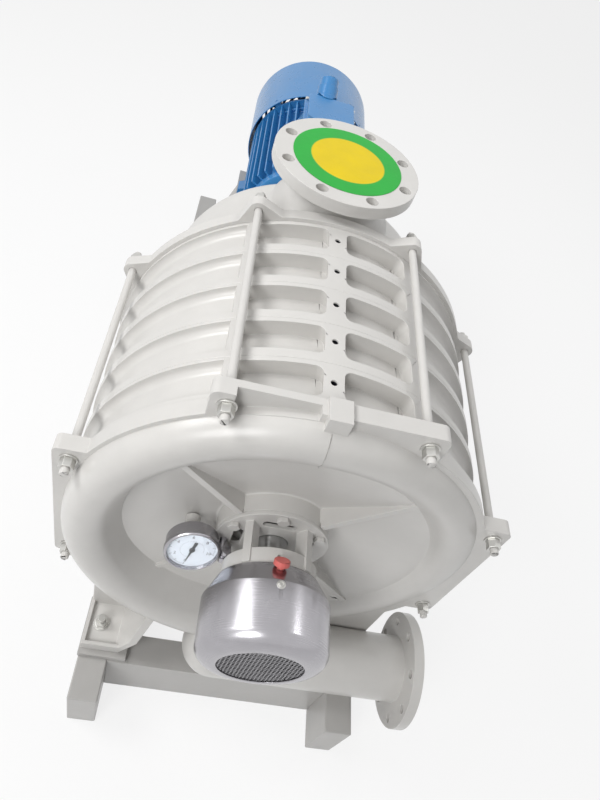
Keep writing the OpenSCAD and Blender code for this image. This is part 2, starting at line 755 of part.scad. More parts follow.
module front_bearing_cap() color(cream)
    translate([0, front_bearing_y - 4, 0]) mirror([0, 1, 0]) on_shaft() {
        bearing_cap(housing_r - 4);
        for (i = [0:2]) at_angle(i * 120) {
            translate([-7, -74, 4]) cube([14, 14, arm_y]);
            intersection() {
                translate([-7, -cover_r, arm_y - 8]) cube([14, 40, 12]);
                difference() {
                    cylinder(r = cover_r - cover_t - 0.3, h = 80);
                    translate([0, 0, arm_y - 2]) rotate([90, 0, 0]) cylinder(d = 6 + 2 * fit, h = 200);
                }
            }
        }
    }

module rear_bearing_cap() color(cream) on_shaft(rear_bearing_y + bearing_w + 4) bearing_cap(housing_r - 4);

// Fan cover

cover_profile_out = concat([[register_r + 0.3 + cover_t, 0]],
    arc([cover_r - 4, 37], 4, 331, 360, 3), [[cover_r, cover_l - 26]],
    [for (i = [1:6]) [grille_r + (cover_r - grille_r) * cos(i * 15), cover_l - 26 + 26 * sin(i * 15)]]);
cover_profile_in = concat(
    [for (i = [6:-1:0]) [grille_r - 4 + (cover_r - grille_r + 4 - cover_t) * cos(i * 15),
        cover_l - 26 + (26 - cover_t) * sin(i * 15)]],
    arc([cover_r - 4, 37], 4 - cover_t, 360, 331, 3), [[register_r + 0.3, 0]]);

module cover_line() translate([0, cover_y, 0]) mirror([0, 1, 0]) on_shaft() children();

plug_y = 8;
plug_tilt = 40;

module fan_cover() color(polished) cover_line() difference() {
    turned(concat(cover_profile_out, [[grille_r - 4, cover_l]], cover_profile_in));
    for (i = [0:2]) at_angle(i * 120) translate([0, 0, screw_y]) rotate([90, 0, 0]) cylinder(d = 7, h = 200);
    plug_place() cylinder(d = 12 + 2 * fit, h = 60, center = true);
}

screw_y = cover_y - (front_bearing_y - 4) + arm_y - 2;

module cover_grille() color(polished) cover_line() translate([0, 0, cover_l - cover_t - 1.6])
    linear_extrude(height = 1) difference() {
        circle(r = grille_r + 1);
        n = floor(grille_r / grille_pitch);
        for (i = [-n:n], j = [-n - 2:n + 2]) {
            p = [(j + (i % 2 == 0 ? 0 : 0.5)) * grille_pitch, i * grille_pitch * 0.87];
            if (norm(p) < grille_r - 4) translate(p) circle(d = grille_hole_d, $fn = 16);
        }
    }

module cover_screws() color(steel) cover_line() for (i = [0:2])
    at_angle(i * 120) translate([0, 0, screw_y]) rotate([90, 0, 0]) translate([0, 0, cover_r]) {
        disc(7, 1.5, 3.2);
        translate([0, 0, -12]) cylinder(d = 6, h = 13);
        translate([0, 0, 1.5]) difference() {
            cylinder(d = 9, h = 4);
            translate([0, 0, 1.5]) hexagon(5, 4);
        }
    }

module plug_place() translate([0, -96, plug_y]) rotate([90 + plug_tilt, 0, 0]) children();

module cover_plug() color(red) cover_line() plug_place() {
    translate([0, 0, -6]) cylinder(d = 12, h = 8);
    cylinder(d = 26, h = 9);
}

// Cooling fan on the shaft end
module cooling_fan() color(iron) on_shaft(fan_y - 12) {
    disc(30, 24, shaft_r - 8 + fit);
    disc(88, 3, 28);
    for (i = [0:7]) rotate([0, 0, i * 45]) translate([28, -1.5, 0]) cube([58, 3, 22]);
}

// Gauge

// Dial plane: local Z points at the reader and local Y is up
module gauge_place() translate(gauge_at) rotate([0, 0, gauge_turn]) rotate([90 - gauge_tilt, 0, 0]) children();

module gauge_case() color(polished) gauge_place() difference() {
    translate([0, 0, -gauge_l]) cylinder(r = gauge_r - 3, h = gauge_l - bezel_t + 4);
    translate([0, 0, -gauge_l + 2]) cylinder(r = gauge_r - 5, h = gauge_l);
}

module gauge_bezel() color(polished) gauge_place() difference() {
    translate([0, 0, -bezel_t]) turned([[gauge_r - 2.9, 0], [gauge_r, 0], [gauge_r, bezel_t - 2],
        [gauge_r - 2, bezel_t], [gauge_r - 5, bezel_t], [gauge_r - 5, 4.3], [gauge_r - 2.9, 4.3]]);
}

module gauge_dial() color(white) gauge_place()
    translate([0, 0, -dial_depth - dial_t]) disc(gauge_r - 5.2, dial_t, arbor_r + 0.3);

module gauge_pointer() color(black) gauge_place() rotate([0, 0, -pointer_rest]) {
    translate([0, 0, -gauge_l + 2.3]) cylinder(r = arbor_r, h = gauge_l - 2.3 - dial_depth + 2);
    translate([0, 0, -dial_depth + 1]) {
        cylinder(r = 5, h = 1.6);
        linear_extrude(height = 1) polygon([[-2.2, 0], [-0.6, gauge_r * 0.6], [0.6, gauge_r * 0.6], [2.2, 0],
            [3, -gauge_r * 0.4], [-3, -gauge_r * 0.4]]);
    }
}

module gauge_glass() color([0.9, 0.95, 1, 0.3]) gauge_place()
    translate([0, 0, -4]) cylinder(r = gauge_r - 5.1, h = glass_t);

// Painted holder: a saucer behind the case and a post down to the dished plate
holder_r = 34;
module gauge_bracket() color(cream) {
    gauge_place() translate([0, 0, -gauge_l - 5]) cylinder(r = holder_r - 6, h = 5);
    intersection() {
        gauge_place() translate([0, 0, -gauge_l - 60]) cylinder(r = 200, h = 57);
        translate([gauge_at[0] - 8, 30 - dish_depth, gauge_at[2]]) rotate([-90, 0, 0])
            cylinder(r = 13, h = post_end - 30 + dish_depth);
    }
}
post_end = 6 + (dish_depth - 6) * (ring_inner_r - abs(gauge_at[0]) - 26) / (ring_inner_r - hub_r - 5) - 0.3;

// Fitting from the side of the case to the bracket plate
module gauge_fitting() color(polished) {
    plate_y = front_hub_y - bracket_plate_t;
    translate([-76, plate_y - 22, -48]) cylinder(r = 9, h = 40);
    translate([-76, plate_y - 22, -38]) hexagon(24, 14);
    translate([-82, plate_y - 22, -14]) rotate([-90, 0, 0]) cylinder(r = 7, h = 22);
}

// Drive coupling

coupling_r = 55;
jaw_l = 11;
coupling_mid = shaft_end_y + coupling_gap / 2;

module coupling_hub(bore) difference() {
    union() {
        translate([0, 0, 4]) cylinder(r = coupling_r - 12, h = 51);
        translate([0, 0, 4]) cylinder(r = coupling_r, h = 21);
        for (i = [0:2]) rotate([0, 0, i * 120]) intersection() {
            translate([0, 0, -4]) disc(coupling_r - 0.5, jaw_l + 1, 34);
            translate([22, -13, -5]) cube([40, 26, 40]);
        }
    }
    translate([0, 0, -10]) cylinder(r = bore + fit, h = 80);
}

module coupling_hub_blower() color(iron) translate([0, coupling_mid, 0]) mirror([0, 1, 0]) on_shaft()
    coupling_hub(shaft_r - 3);
module coupling_hub_motor() color(iron) on_shaft(coupling_mid) rotate([0, 0, 60])
    coupling_hub(motor_shaft_d / 2);

module coupling_spider() color(black) on_shaft(coupling_mid - 3) difference() {
    disc(coupling_r - 1, 6, 27);
    for (i = [0:5]) rotate([0, 0, i * 60]) translate([29.7, -13.3, -1]) cube([40, 26.6, 10]);
}

module coupling_guard() color(cream) on_shaft(rear_wall_y) difference() {
    union() {
        disc(hub_r + 9, motor_front_y - rear_wall_y - 12, hub_r + 7);
        disc(hub_r + 30, 3, hub_r + 7);
    }
    translate([-45, 0, 60]) cube([90, 200, 400]);
}

// Motor

module motor_frame() color(blue) difference() {
    union() {
        on_shaft(frame_y) {
            cylinder(r = barrel_r, h = motor_l, $fn = 144);
            for (h = [0, motor_l - 12]) translate([0, 0, h]) cylinder(r = barrel_r + 9, h = 12, $fn = 144);
            for (i = [0:fins - 1]) rotate([0, 0, i * 360 / fins]) translate([barrel_r - 2, -fin_t / 2, 8])
                cube([fin_r - barrel_r + 2, fin_t, motor_l - 14]);
        }
        for (s = [-1, 1], y = [0, motor_hole_pitch_y]) translate([0, foot_hole_y + y - 22, 0])
            foot_slice(s, [[90, -motor_h], [177, -motor_h], [177, 18 - motor_h], [152, 30 - motor_h],
                [146, -90], [112, -80], [88, -104]], 44);
        translate([box_x - 52, box_y + 10, 100]) cube([104, box_l - 20, box_base_z - 100]);
    }
    on_shaft(frame_y - 1) cylinder(r = stator_r, h = motor_l + 2, $fn = 144);
    translate([box_x - box_w / 2 - 24, box_y - 8, box_base_z]) cube([box_w + 48, box_l + 16, 60]);
    on_shaft(cowl_y - 1) cylinder(r = cowl_r + 1.5, h = 60, $fn = 144);
    for (x = [-1, 1], y = [0, motor_hole_pitch_y])
        translate([x * motor_hole_pitch_x / 2, foot_hole_y + y, 18 - motor_h]) cylinder(d = 30, h = 40);
    for (x = [-1, 1], y = [0, motor_hole_pitch_y])
        translate([x * motor_hole_pitch_x / 2, foot_hole_y + y, -motor_h - 1])
            cylinder(d = motor_bolt_d + 1, h = 34);
}

// Four lugs on the rear end shield that the cowl slides over
module cowl_lugs() for (i = [0:3]) on_shaft(frame_end_y) rotate([0, 0, 45 + i * 90])
    translate([barrel_r - 6, -9, 5]) cube([cowl_r - 2.8 - barrel_r + 6, 18, 19]);

module motor_end_shields() color(blue) {
    on_shaft(motor_front_y) turned([[journal_r + 12, 0], [62, 0], [70, 10], [barrel_r - 4, 14], [barrel_r + 9, 18],
        [barrel_r + 9, shield_l], [stator_r - 6, shield_l], [stator_r - 10, 24], [journal_r + 12, 22]]);
    cowl_lugs();
    on_shaft(frame_end_y) turned([[journal_r + 12, 0], [fin_r, 0], [fin_r, 6], [barrel_r + 6, 8],
        [barrel_r - 4, rear_shield_l - 6], [60, rear_shield_l], [journal_r + 12, rear_shield_l]]);
}

module motor_stator() color(copper) {
    on_shaft(core_y) disc(stator_r, core_l, rotor_r + air_gap);
    on_shaft(core_y - 32) disc(stator_r - 12, core_l + 64, rotor_r + 10);
}

module motor_rotor() color(iron) on_shaft() turned([
    [0, motor_shaft_y], [motor_shaft_d / 2, motor_shaft_y], [motor_shaft_d / 2, motor_front_y - 2],
    [journal_r, motor_front_y - 2], [journal_r, core_y], [rotor_r, core_y], [rotor_r, core_y + core_l],
    [journal_r, core_y + core_l], [journal_r, frame_end_y + rear_shield_l + 4],
    [motor_shaft_d / 2 - 4, frame_end_y + rear_shield_l + 4], [motor_shaft_d / 2 - 4, cowl_end_y - 100],
    [0, cowl_end_y - 100]]);

module motor_bearings() color(steel) {
    on_shaft(motor_front_y + 1) disc(journal_r + 12 - fit, 20, journal_r + fit);
    on_shaft(frame_end_y + 1) disc(journal_r + 12 - fit, rear_shield_l - 2, journal_r + fit);
}

module motor_fan() color(black) on_shaft(cowl_end_y - motor_fan_room) {
    back_t = 4;
    root = motor_fan_hub_d / 2 - 2;
    disc(motor_fan_hub_d / 2, motor_fan_blade_w + back_t, motor_shaft_d / 2 - 4 + fit);
    disc(motor_fan_d / 2, back_t, root);
    for (i = [0:6]) rotate([0, 0, i * 360 / 7]) translate([root, -2, 0])
        cube([motor_fan_d / 2 - root - 4, 4, motor_fan_blade_w]);
}

module motor_cowl() color(blue) on_shaft(cowl_y) difference() {
    turned([[cowl_r, 0], [cowl_r, cowl_l - 14], [cowl_r - 4, cowl_l - 4], [cowl_r - 14, cowl_l], [0, cowl_l],
        [0, cowl_l - 2.5], [cowl_r - 15, cowl_l - 2.5], [cowl_r - 6.5, cowl_l - 6],
        [cowl_r - 2.5, cowl_l - 15], [cowl_r - 2.5, 0]]);
    for (r = [50:16:146]) translate([0, 0, cowl_l - 5]) difference() {
        disc(r + 8, 10, r);
        for (a = [0:45:135]) rotate([0, 0, a]) translate([-200, -6, -1]) cube([400, 12, 12]);
    }
    for (i = [0:3]) rotate([0, 0, 45 + i * 90]) translate([cowl_r - 10, 0, 18])
        rotate([0, 90, 0]) cylinder(d = 6.4, h = 20);
}

module terminal_box() color(blue) difference() {
    translate([box_x, box_y, 0]) mirror([0, 1, 0]) rotate([90, 0, 0]) linear_extrude(height = box_l)
        polygon([[-box_w / 2 - 20, box_base_z], [box_w / 2 + 20, box_base_z], [box_w / 2, box_base_z + 44],
            [box_w / 2, box_top_z], [-box_w / 2, box_top_z], [-box_w / 2, box_base_z + 44]]);
    translate([box_x - box_w / 2 + 5, box_y + 5, box_base_z + 6]) cube([box_w - 10, box_l - 10, box_top_z]);
    gland_place() translate([0, 0, -20]) cylinder(d = 30, h = 30);
}

module terminal_lid() color(blue) translate([box_x, box_y + box_l / 2, box_top_z]) difference() {
    union() {
        linear_extrude(height = 6) rounded_square(box_w + 12, box_l + 12, 8);
        linear_extrude(height = lid_t) rounded_square(box_w - 4, box_l - 6, 10);
    }
    translate([0, 0, -1]) linear_extrude(height = lid_t - 3) rounded_square(box_w - 12, box_l - 14, 8);
    for (x = [-1, 1], y = [-1, 1]) translate([x * box_w / 2, y * box_l / 2, -1]) cylinder(d = 6.6, h = 12);
}

module terminal_screws() color(steel) for (x = [-1, 1], y = [-1, 1])
    translate([box_x + x * box_w / 2, box_y + box_l / 2 + y * box_l / 2, box_top_z]) {
        translate([0, 0, 0.2]) cylinder(d = 6, h = 7);
        translate([0, 0, 6]) cylinder(d = 11, h = 4);
    }

module gland_place() translate([-5, box_y + box_l - 2, box_top_z - 6]) rotate([-52, 0, 0]) children();

module cable_gland() color(blue) difference() {
    gland_place() {
        translate([0, 0, -20]) cylinder(d = 62, h = 48);
        translate([0, 0, 28]) cylinder(d = 55, h = 28);
        translate([0, 0, 56]) cylinder(d = 48, h = 22);
    }
    translate([box_x - box_w, box_y - 0.3, box_base_z]) cube([2 * box_w, box_l + 0.3, 90]);
    translate([box_x - box_w, box_y, box_top_z - 0.3]) cube([2 * box_w, box_l + 6.3, lid_t + 1]);
}

module motor_bolts() color(steel) for (x = [-1, 1], y = [0, motor_hole_pitch_y])
    translate([x * motor_hole_pitch_x / 2, foot_hole_y + y, -motor_h]) {
        translate([0, 0, -stand_t]) cylinder(d = motor_bolt_d, h = stand_t + 36);
        translate([0, 0, 18]) hexagon(22, 11);
    }

// Base

module beam_place() for (s = [-1, 1]) translate([s * beam_gauge / 2 - beam_w / 2, beam_y, floor_z]) children();
beam_y = -185;

module base_beams() color(cream) difference() {
    beam_place() cube([beam_w, beam_l, beam_h]);
    beam_place() translate([beam_t, beam_t, beam_t])
        cube([beam_w - 2 * beam_t, beam_l - 2 * beam_t, beam_h - 2 * beam_t]);
    for (s = [-1, 1], y = [0, foundation_pitch]) translate([s * beam_gauge / 2, first_foundation_y + y, floor_z - 1])
        cylinder(d = foundation_d, h = beam_h + 2);
    foot_studs() translate([0, 0, -20]) cylinder(d = stud_d + 2 * fit, h = 30);
}

cross_w = 62;
cross_ys = [-103, first_foundation_y + foundation_pitch / 2 - 60, beam_y + beam_l - 120];
module base_cross_members() color(cream) for (y = cross_ys) {
    x = beam_gauge / 2 - beam_w / 2;
    translate([-x, y, floor_z]) difference() {
        cube([2 * x, cross_w, beam_h]);
        translate([-1, beam_t, beam_t]) cube([2 * x + 2, cross_w - 2 * beam_t, beam_h - 2 * beam_t]);
    }
}

packing_inner = pad_inner - 32;
packing_w = pad_outer + 4 - packing_inner;

module packing_plate(side, y, l)
    translate([side > 0 ? packing_inner : -packing_inner - packing_w, y, beam_top_z])
        cube([packing_w, l, packing_t]);

module packing_plates() color(cream) difference() {
    union() {
        packing_plate(-1, -100, 122);
        packing_plate(1, -100, 208);
        for (s = [-1, 1]) packing_plate(s, rear_flange_y, 116);
    }
    foot_studs() translate([0, 0, -1]) cylinder(d = stud_d + 1, h = 40);
}

module foot_bolts() color(steel) foot_studs()
    translate([0, 0, packing_t + pad_t]) {
        disc(17, washer_t, stud_d / 2 + 0.3);
        translate([0, 0, washer_t]) hex_nut(24, 13, stud_d + 2 * fit);
        translate([0, 0, -packing_t - pad_t - 6]) cylinder(d = stud_d, h = packing_t + pad_t + 36);
    }

module motor_stand() color(cream) translate([0, stand_y, 0]) difference() {
    foot = beam_top_z;
    under = stand_top_z - stand_t + 1;
    beam_in = beam_gauge / 2 - 34;
    beam_out = beam_gauge / 2 + 30;
    union() {
        translate([-stand_w / 2, 0, stand_top_z - stand_t]) cube([stand_w, stand_l, stand_t]);
        for (s = [-1, 1]) {
            foot_slice(s, [[150, under], [164, under], [beam_in + 20, foot + 4], [beam_in + 6, foot + 4]], stand_l);
            foot_slice(s, [[beam_in, foot], [beam_out, foot], [beam_out, foot + 12], [beam_in, foot + 12]], stand_l);
        }
        for (y = [0, stand_l - 12]) translate([0, y, 0]) difference() {
            foot_slice(1, [[-158, under], [158, under], [beam_in + 14, foot], [-beam_in - 14, foot]], 12);
            translate([0, -1, 0]) foot_slice(1, [[-110, under - 45], [110, under - 45],
                [beam_in - 46, foot + 30], [46 - beam_in, foot + 30]], 14);
        }
    }
    for (x = [-1, 1], y = [0, motor_hole_pitch_y])
        translate([x * motor_hole_pitch_x / 2, foot_hole_y - stand_y + y, stand_top_z - stand_t - 1])
            cylinder(d = motor_bolt_d + 2 * fit, h = stand_t + 2);
}

// Round protective sticker over the suction opening
module inlet_sticker() color([0.20, 0.69, 0.30]) translate([0, neck_y, inlet_h]) cylinder(d = sticker_d, h = 0.8);

// The working frame has the shaft at the origin, so the whole machine is moved onto its floor
module placed() translate([0, -origin_y, shaft_h]) children();

placed() front_casing();
placed() stage_casing_1();
placed() stage_casing_2();
placed() stage_casing_3();
placed() stage_casing_4();
placed() stage_casing_5();
placed() rear_casing();
placed() tie_rods();
placed() tie_rod_nuts();
placed() tie_rod_washers();
placed() blower_shaft();
placed() impeller_1();
placed() impeller_2();
placed() impeller_3();
placed() impeller_4();
placed() impeller_5();
placed() shaft_sleeves();
placed() rotor_lock_nut();
placed() front_bearing_bracket();
placed() rear_bearing_bracket();
placed() bracket_bolts();
placed() bearing_outer_rings();
placed() bearing_inner_rings();
placed() bearing_balls();
placed() front_bearing_cap();
placed() rear_bearing_cap();
placed() cooling_fan();
placed() fan_cover();
placed() cover_grille();
placed() cover_screws();
placed() cover_plug();
placed() gauge_case();
placed() gauge_bezel();
placed() gauge_dial();
placed() gauge_pointer();
placed() gauge_glass();
placed() gauge_fitting();
placed() gauge_bracket();
placed() coupling_hub_blower();
placed() coupling_hub_motor();
placed() coupling_spider();
placed() coupling_guard();
placed() motor_frame();
placed() motor_end_shields();
placed() motor_stator();
placed() motor_rotor();
placed() motor_bearings();
placed() motor_fan();
placed() motor_cowl();
placed() terminal_box();
placed() terminal_lid();
placed() terminal_screws();
placed() cable_gland();
placed() motor_bolts();
placed() base_beams();
placed() base_cross_members();
placed() motor_stand();
placed() packing_plates();
placed() foot_bolts();
placed() inlet_sticker();
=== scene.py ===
import math

import bmesh
import bpy
from mathutils import Matrix, Vector


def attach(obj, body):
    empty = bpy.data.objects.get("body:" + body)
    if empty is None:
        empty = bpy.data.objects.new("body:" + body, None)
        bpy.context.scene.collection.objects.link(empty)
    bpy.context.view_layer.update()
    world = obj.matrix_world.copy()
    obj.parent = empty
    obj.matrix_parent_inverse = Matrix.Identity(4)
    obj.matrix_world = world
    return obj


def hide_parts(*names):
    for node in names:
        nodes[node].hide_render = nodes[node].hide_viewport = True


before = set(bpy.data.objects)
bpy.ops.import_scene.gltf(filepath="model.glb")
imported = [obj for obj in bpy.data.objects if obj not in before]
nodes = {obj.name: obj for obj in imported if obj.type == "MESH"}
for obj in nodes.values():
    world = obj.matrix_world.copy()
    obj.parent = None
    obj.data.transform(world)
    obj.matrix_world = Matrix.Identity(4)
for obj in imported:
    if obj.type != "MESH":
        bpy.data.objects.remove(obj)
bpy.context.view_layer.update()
print("frame loaded:", len(nodes), "nodes")

scene = bpy.context.scene
scene.view_settings.view_transform = "Standard"

shaftY = -0.705  # the front flange face, the start of every station below
shaftZ = 0.605   # height of the shaft line


def mm(x, y, z):  # a point given from the shaft line and the front flange face, in millimetres
    return Vector((x / 1000, y / 1000 + shaftY, z / 1000 + shaftZ))


# Camera, at the photograph's place

cameraView = {"place": (-0.19932, -1.24068, 1.62091), "azimuth": -14.9932, "elevation": 48.4959,
              "roll": 23.6777, "lens": 29.32}


def makeCamera(view):
    azimuth, elevation, roll = (math.radians(view[k]) for k in ("azimuth", "elevation", "roll"))
    back = Vector((math.sin(azimuth) * math.cos(elevation), -math.cos(azimuth) * math.cos(elevation),
                   math.sin(elevation)))
    level = Vector((math.cos(azimuth), math.sin(azimuth), 0))
    upright = back.cross(level)
    right = level * math.cos(roll) + upright * math.sin(roll)
    up = upright * math.cos(roll) - level * math.sin(roll)
    camera = bpy.data.objects.new("camera", bpy.data.cameras.new("camera"))
    camera.data.lens = view["lens"]
    camera.data.sensor_width = 36
    camera.data.clip_start = 0.05
    camera.data.clip_end = 60
    turn = Matrix((right, up, back)).transposed().to_4x4()
    camera.matrix_world = Matrix.Translation(view["place"]) @ turn
    scene.collection.objects.link(camera)
    scene.camera = camera


makeCamera(cameraView)
print("camera placed")


# Materials

def nodeGroup(name, inputs, outputs):
    group = bpy.data.node_groups.new(name, "ShaderNodeTree")
    for side, sockets in (("INPUT", inputs), ("OUTPUT", outputs)):
        for label, kind, value in sockets:
            socket = group.interface.new_socket(label, in_out=side, socket_type="NodeSocket" + kind)
            if side == "INPUT" and value is not None:
                socket.default_value = value
    return group, group.nodes.new("NodeGroupInput"), group.nodes.new("NodeGroupOutput")


def addNode(tree, kind, **settings):
    node = tree.nodes.new("ShaderNode" + kind)
    for key, value in settings.items():
        if key in node.inputs.keys():
            node.inputs[key].default_value = value
        else:
            setattr(node, key, value)
    return node


def mathNode(tree, operation, first, second=None, third=None):
    node = tree.nodes.new("ShaderNodeMath")
    node.operation = operation
    for slot, value in enumerate((first, second, third)):
        if value is None:
            continue
        if isinstance(value, (int, float)):
            node.inputs[slot].default_value = value
        else:
            tree.links.new(value, node.inputs[slot])
    return node.outputs[0]


def mixColours(tree, factor, first, second):
    node = tree.nodes.new("ShaderNodeMix")
    node.data_type = "RGBA"
    for slot, value in ((0, factor), (6, first), (7, second)):
        if isinstance(value, bpy.types.NodeSocket):
            tree.links.new(value, node.inputs[slot])
        elif slot == 0:
            node.inputs[slot].default_value = value
        else:
            node.inputs[slot].default_value = (*value[:3], 1)
    return node.outputs[2]


def noiseNode(tree, vector, scale, detail=2.0, roughness=0.5):
    node = addNode(tree, "TexNoise", Scale=scale, Detail=detail, Roughness=roughness)
    tree.links.new(vector, node.inputs["Vector"])
    return node.outputs["Fac"]


def makePaintGroup():  # sprayed paint over a casting: cloudy tone, grime, orange peel and cast waviness
    group, start, end = nodeGroup(
        "sprayedPaint",
        [("Colour", "Color", (0.8, 0.8, 0.8, 1)), ("Clouds", "Float", 0.06), ("Roughness", "Float", 0.4),
         ("Peel", "Float", 1.0), ("Cast", "Float", 0.0)],
        [("Colour", "Color", None), ("Roughness", "Float", None), ("Height", "Float", None)])
    place = addNode(group, "TexCoord").outputs["Object"]
    clouds = noiseNode(group, place, 7.0, 3.0)
    grime = noiseNode(group, place, 34.0, 4.0, 0.6)
    tone = mathNode(group, "MULTIPLY_ADD", clouds, 0.65, mathNode(group, "MULTIPLY", grime, 0.35))
    shade = mathNode(group, "MULTIPLY", mathNode(group, "SUBTRACT", tone, 0.5), start.outputs["Clouds"])
    value = addNode(group, "HueSaturation")
    group.links.new(start.outputs["Colour"], value.inputs["Color"])
    group.links.new(mathNode(group, "MULTIPLY_ADD", shade, 4.0, 1.0), value.inputs["Value"])
    group.links.new(value.outputs["Color"], end.inputs["Colour"])
    rough = mathNode(group, "MULTIPLY_ADD", mathNode(group, "SUBTRACT", grime, 0.5), 0.25,
                     start.outputs["Roughness"])
    group.links.new(rough, end.inputs["Roughness"])
    peel = noiseNode(group, place, 420.0, 2.0, 0.4)
    waves = noiseNode(group, place, 90.0, 2.0, 0.4)
    swell = noiseNode(group, place, 15.0, 1.0, 0.4)
    skin = mathNode(group, "MULTIPLY_ADD", peel, 0.1, waves)
    height = mathNode(group, "MULTIPLY", skin, start.outputs["Peel"])
    height = mathNode(group, "MULTIPLY_ADD", swell, start.outputs["Cast"], height)
    group.links.new(height, end.inputs["Height"])
    return group


def makeTurnedGroup():  # turned or spun metal: fine rings round the shaft line
    group, start, end = nodeGroup(
        "spunRings", [("Rings", "Float", 900.0), ("Roughness", "Float", 0.2), ("Spread", "Float", 0.1)],
        [("Roughness", "Float", None), ("Height", "Float", None), ("Tone", "Float", None)])
    place = addNode(group, "TexCoord").outputs["Object"]
    split = addNode(group, "SeparateXYZ")
    group.links.new(place, split.inputs[0])
    x, y, z = split.outputs
    fromAxis = mathNode(group, "SUBTRACT", z, shaftZ)
    radius = mathNode(group, "SQRT", mathNode(group, "ADD", mathNode(group, "MULTIPLY", x, x),
                                              mathNode(group, "MULTIPLY", fromAxis, fromAxis)))
    line = mathNode(group, "MULTIPLY", mathNode(group, "ADD", radius, y), start.outputs["Rings"])
    rings = addNode(group, "TexNoise", noise_dimensions="1D", Detail=3.0, Roughness=0.7)
    group.links.new(line, rings.inputs["W"])
    rings.inputs["Scale"].default_value = 1.0
    smudge = noiseNode(group, place, 22.0, 3.0)
    both = mathNode(group, "ADD", mathNode(group, "SUBTRACT", rings.outputs["Fac"], 0.5),
                    mathNode(group, "SUBTRACT", smudge, 0.5))
    group.links.new(mathNode(group, "MULTIPLY_ADD", both, start.outputs["Spread"],
                             start.outputs["Roughness"]), end.inputs["Roughness"])
    group.links.new(rings.outputs["Fac"], end.inputs["Height"])
    group.links.new(smudge, end.inputs["Tone"])
    return group


paintGroup = makePaintGroup()
turnedGroup = makeTurnedGroup()


def newMaterial(name):
    material = bpy.data.materials.new(name)
    material.use_nodes = True
    return material, material.node_tree, material.node_tree.nodes["Principled BSDF"]


def groupNode(tree, group, **values):
    node = tree.nodes.new("ShaderNodeGroup")
    node.node_tree = group
    for key, value in values.items():
        node.inputs[key].default_value = (*value, 1) if isinstance(value, tuple) else value
    return node


def bumpInto(tree, shader, height, distance, strength=1.0):
    bump = addNode(tree, "Bump", Distance=distance, Strength=strength)
    tree.links.new(height, bump.inputs["Height"])
    tree.links.new(bump.outputs["Normal"], shader.inputs["Normal"])


def paintMaterial(name, colour, clouds, roughness, coat, peel, cast=0.0):
    material, tree, shader = newMaterial(name)
    paint = groupNode(tree, paintGroup, Colour=colour, Clouds=clouds, Roughness=roughness, Peel=1.0,
                      Cast=cast)
    tree.links.new(paint.outputs["Colour"], shader.inputs["Base Color"])
    tree.links.new(paint.outputs["Roughness"], shader.inputs["Roughness"])
    shader.inputs["Coat Weight"].default_value = coat
    shader.inputs["Coat Roughness"].default_value = 0.22
    bumpInto(tree, shader, paint.outputs["Height"], peel)
    return material


def metalMaterial(name, colour, roughness, spread, bump, rings=900.0, dulling=0.2):
    material, tree, shader = newMaterial(name)
    spun = groupNode(tree, turnedGroup, Rings=rings, Roughness=roughness, Spread=spread)
    dull = tuple(c * (1 - dulling) for c in colour)
    tree.links.new(mixColours(tree, spun.outputs["Tone"], dull, colour), shader.inputs["Base Color"])
    tree.links.new(spun.outputs["Roughness"], shader.inputs["Roughness"])
    shader.inputs["Metallic"].default_value = 1.0
    bumpInto(tree, shader, spun.outputs["Height"], bump)
    return material


def plainMaterial(name, colour, roughness, grain=0.00005, scale=500.0, **sockets):
    material, tree, shader = newMaterial(name)
    place = addNode(tree, "TexCoord").outputs["Object"]
    speck = noiseNode(tree, place, scale, 3.0)
    cloud = noiseNode(tree, place, 40.0, 2.0)
    dull = tuple(c * 0.88 for c in colour)
    tree.links.new(mixColours(tree, cloud, dull, colour), shader.inputs["Base Color"])
    tree.links.new(mathNode(tree, "MULTIPLY_ADD", cloud, 0.12, roughness - 0.06), shader.inputs["Roughness"])
    for key, value in sockets.items():
        shader.inputs[key.replace("_", " ")].default_value = value
    bumpInto(tree, shader, speck, grain)
    return material


creamPaint = paintMaterial("creamPaint", (0.62, 0.607, 0.585), 0.06, 0.36, 0.3, 0.00012, 4.5)
# base paint: the casing's cream paint darkened, painted shade for the beams, cross members, motor stand and
# packing plates low under the machine
baseShadedPaint = paintMaterial("baseShadedPaint", (0.45, 0.44, 0.425), 0.05, 0.4, 0.15, 0.00012, 1.0)
blueEnamel = paintMaterial("blueEnamel", (0.032, 0.205, 0.48), 0.06, 0.3, 0.35, 0.00003, 8.0)
polishedSteel = metalMaterial("polishedSteel", (0.47, 0.46, 0.485), 0.25, 0.14, 0.000003)
shaftSteel = metalMaterial("shaftSteel", (0.48, 0.48, 0.48), 0.3, 0.12, 0.00001)
boltSteel = metalMaterial("boltSteel", (0.66, 0.655, 0.63), 0.36, 0.1, 0.00001, 300.0)
wheelAlloy = metalMaterial("wheelAlloy", (0.6, 0.6, 0.61), 0.42, 0.1, 0.00002)
darkIron = plainMaterial("darkIron", (0.10, 0.10, 0.105), 0.55, 0.0002, 300.0)
spiderRubber = plainMaterial("spiderRubber", (0.02, 0.02, 0.022), 0.6)
windingCopper = metalMaterial("windingCopper", (0.62, 0.3, 0.14), 0.35, 0.1, 0.00003)
capRed = plainMaterial("capRed", (0.70, 0.15, 0.135), 0.4, 0.0001)
dialWhite = plainMaterial("dialWhite", (0.80, 0.84, 0.90), 0.5)
pointerBlack = plainMaterial("pointerBlack", (0.015, 0.016, 0.022), 0.35)


